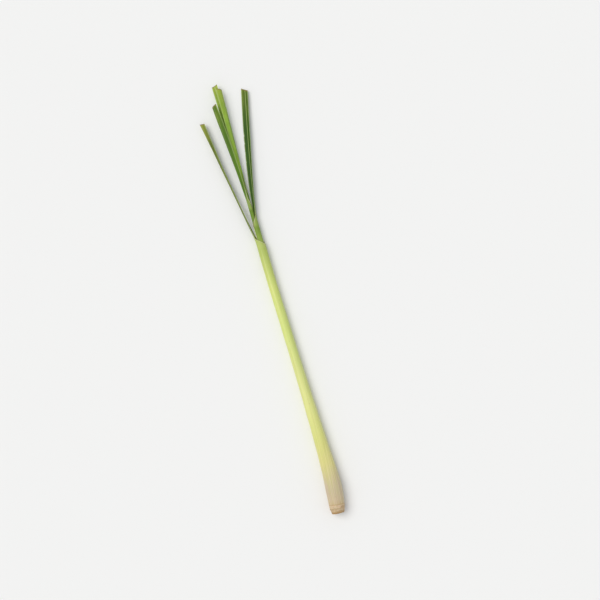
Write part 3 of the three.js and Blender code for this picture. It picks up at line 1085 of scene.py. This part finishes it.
# %% The materials of dry tissue
def dry_tissue(name, dark, light):
    dry = Finish(name)
    fibres = dry.cloud(dry.place(dry.note("share") * 60, dry.note("along") * 0.6))
    colour = fibres.rises(0.3, 0.7).blend(dark, light)
    dry.connect(
        Base_Color=colour.tinted((dry.note("edge").rises(0.5, 0.0), 0.7, CUT_BROWN)),
        Roughness=fibres * 0.2 + 0.62, Normal=dry.bumps(fibres, 0.6, 0.0001),
        Subsurface_Weight=0.15, Subsurface_Scale=0.0008,
    )
    return dry.material


papery = dry_tissue("papery_membrane", paint(150, 124, 74), paint(206, 190, 140))
woody = dry_tissue("woody_scar", paint(172, 142, 104), paint(212, 188, 150))
print("dry tissue comes as", papery.name, "and", woody.name)

# %% Build the membranes
MEMBRANE_WALL = 0.09
MEMBRANE_LIFT = 0.05
MEMBRANE_ROWS, MEMBRANE_COLUMNS = 14, 120
MEMBRANE_START, MEMBRANE_HEIGHT, MEMBRANE_REACH = 2.6, 2.4, 105
RAGGEDNESS, LOWEST, HIGHEST = 0.35, 0.25, 1.3


def membrane(name, start, height, radius_at, middle, reach, seed, material, ripple=0.0):
    """A ragged strip that stands on start and hugs a layer, reach degrees to both sides of middle."""
    share = np.linspace(-1, 1, MEMBRANE_COLUMNS)[None, :]
    up = np.linspace(0, 1, MEMBRANE_ROWS)[:, None]
    tall = np.clip(0.8 + ragged(seed, MEMBRANE_COLUMNS, RAGGEDNESS), LOWEST, HIGHEST)
    tall = height * (1 - 0.97 * np.abs(share) ** 4) * tall
    y = start + tall * up
    turn = np.radians(90 - middle + reach * share)
    flare = ripple * lumps(seed, (share, 0.3)) * up
    radius = radius_at(y) + MEMBRANE_LIFT + MEMBRANE_WALL + np.maximum(0, flare)
    round_out = np.stack([np.sin(turn) + 0 * y, 0 * y, np.cos(turn) + 0 * y], -1)
    centre = np.stack([middle_x(y), y, middle_z(y)], -1)
    points = np.stack([centre + round_out * r[..., None] for r in (radius, radius - MEMBRANE_WALL)])
    notes = {"along": y, "share": share, "edge": tall * (1 - up)}
    return new_piece(name, points, sheet_faces(MEMBRANE_ROWS, MEMBRANE_COLUMNS), notes, material)


membranes = [
    membrane(leaf.name + "_membrane", leaf.collar + MEMBRANE_START, MEMBRANE_HEIGHT,
             lambda y, k=k: layer_radius(k + 1, y), leaf.back(leaf.collar), MEMBRANE_REACH, 70 + k, papery)
    for k, leaf in enumerate(LEAVES)
]
scar_rest = membrane("scar_rest", SCAR_AT + 0.2, 1.6, stalk_radius, 60.0, 150, 81, woody, ripple=0.25)

# %% Build the torn fibres
FIBRE_COUNT = 46
FIBRE_ROOT = 0.25
FIBRE_LENGTH = (0.45, 1.2)
FIBRE_WIDTH = (0.06, 0.11)


def torn_fibres(seed):
    draw = np.random.default_rng(seed)
    rim = float(stalk_radius(0)) - EDGE_ROUNDING
    points, faces = [], []
    for n in range(FIBRE_COUNT):
        turn = 2 * math.pi * n / FIBRE_COUNT + draw.uniform(-0.12, 0.12)
        inwards = draw.uniform(0.05, 0.9) ** 2
        length, width = draw.uniform(*FIBRE_LENGTH), draw.uniform(*FIBRE_WIDTH)
        foot = round_stalk(np.array([FIBRE_ROOT]), np.array([[rim - inwards]]), np.array([[turn]]))[0, 0]
        outwards = np.array([math.sin(turn), 0, math.cos(turn)])
        side = np.array([math.cos(turn), 0, -math.sin(turn)])
        lean = outwards * draw.uniform(0.0, 0.7) + side * draw.uniform(-0.5, 0.5) + np.array([0, -0.6, 0])
        first = len(points)
        points += [foot + width * way for way in (side, outwards, -side, -outwards)]
        points.append(foot + length * unit(lean))
        faces += [[first + i, first + (i + 1) % 4, first + 4] for i in range(4)]
        faces.append([first + 3, first + 2, first + 1, first])
    points = np.array(points)
    notes = {"along": points[:, 1], "share": points[:, 0] * 0.1, "edge": points[:, 1] + 2}
    return new_piece("torn_fibres", points, faces, notes, woody)


fibres = torn_fibres(97)

# %% [markdown]
# ## The table and the light
# The stalk lies on a plain pale surface under soft studio light. A broad sun from the upper left gives the
# rolled sheaths a light side and a shaded side, and a pale sky fills the shadows.

# %% Floor, light and background
FLOOR_SIDE = 60.0
FLOOR_COLOUR = (0.89, 0.89, 0.885, 1.0)
SUN_ANGLE = math.radians(42)
SUN_TILT = math.radians(30)
SUN_FROM = math.radians(140)
SUN_STRENGTH, SUN_COLOUR = 1.6, (1.0, 0.985, 0.96)
SKY_STRENGTH, SKY_COLOUR = 0.58, (0.97, 0.985, 1.0, 1.0)

surface = Finish("pale_floor")
surface.connect(Base_Color=FLOOR_COLOUR, Roughness=0.9)
half = FLOOR_SIDE / 2
corners = [(-half, -half, 0), (half, -half, 0), (half, half, 0), (-half, half, 0)]
mesh = bpy.data.meshes.new("floor")
mesh.from_pydata(corners, [], [[0, 1, 2, 3]])
mesh.materials.append(surface.material)
floor = placed("floor", mesh)
sun_data = bpy.data.lights.new("studio_sun", "SUN")
sun_data.energy, sun_data.color, sun_data.angle = SUN_STRENGTH, SUN_COLOUR, SUN_ANGLE
sun = placed("studio_sun", sun_data)
sun.rotation_euler = (0, SUN_TILT, SUN_FROM)

sky = bpy.data.worlds.new("studio_sky")
sky.use_nodes = True
background = sky.node_tree.nodes["Background"]
background.inputs["Color"].default_value = SKY_COLOUR
background.inputs["Strength"].default_value = SKY_STRENGTH
bpy.context.scene.world = sky
bpy.context.scene.view_settings.view_transform = "Standard"
print("the sun stands", round(math.degrees(SUN_TILT)), "degrees from straight up")

# %% [markdown]
# ## The camera
# The photograph shows the stalk nearly upright and side-on. Laid on the table, it is seen that way from
# straight above, through a long lens that keeps the perspective weak. The camera's place follows from where
# the cut end is in the picture, how far the stalk leans there, and that one pixel is one millimetre.

# %% Place the camera
PICTURE_SIDE = 600
CUT_END_PIXEL = (337.5, 513)
STALK_LEAN = math.radians(15.93)
MM_PER_PIXEL = 1.0
LENS, SENSOR = 85.0, 36.0

right = (PICTURE_SIDE / 2 - CUT_END_PIXEL[0]) * MM_PER_PIXEL
upwards = (CUT_END_PIXEL[1] - PICTURE_SIDE / 2) * MM_PER_PIXEL
aim_x = right * math.cos(STALK_LEAN) + upwards * math.sin(STALK_LEAN)
aim_y = -right * math.sin(STALK_LEAN) + upwards * math.cos(STALK_LEAN)
height = PICTURE_SIDE * MM_PER_PIXEL * LENS / SENSOR + float(middle_z(0))

camera_data = bpy.data.cameras.new("camera")
camera_data.lens, camera_data.sensor_width = LENS, SENSOR
camera = placed("camera", camera_data)
camera.location = ((aim_x + ORIGIN[0]) * MM, (aim_y + ORIGIN[1]) * MM, height * MM)
camera.rotation_euler = (0, 0, -STALK_LEAN)
bpy.context.scene.camera = camera
print("the camera is at", [round(c, 3) for c in camera.location])

# %% [markdown]
# ## Bodies, and the solids under the skins
# Every new piece is hung on a body, and every solid that a skin replaces is hidden. A stalk has no joints, so
# there is one body. The box of the finished stalk is measured, and how much larger it is than the box of the
# solids is printed.

# %% Bodies, hidden solids and sizes
for node, piece in pieces.items():
    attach(piece, "root")
    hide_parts(node)
for piece in [*membranes, scar_rest, fibres]:
    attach(piece, "root")
floor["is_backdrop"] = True

bpy.context.view_layer.update()
low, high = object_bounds()
larger = (high - low) - (cad_high - cad_low)
print("the visual box is larger by", [round(1000 * side, 2) for side in larger], "mm")
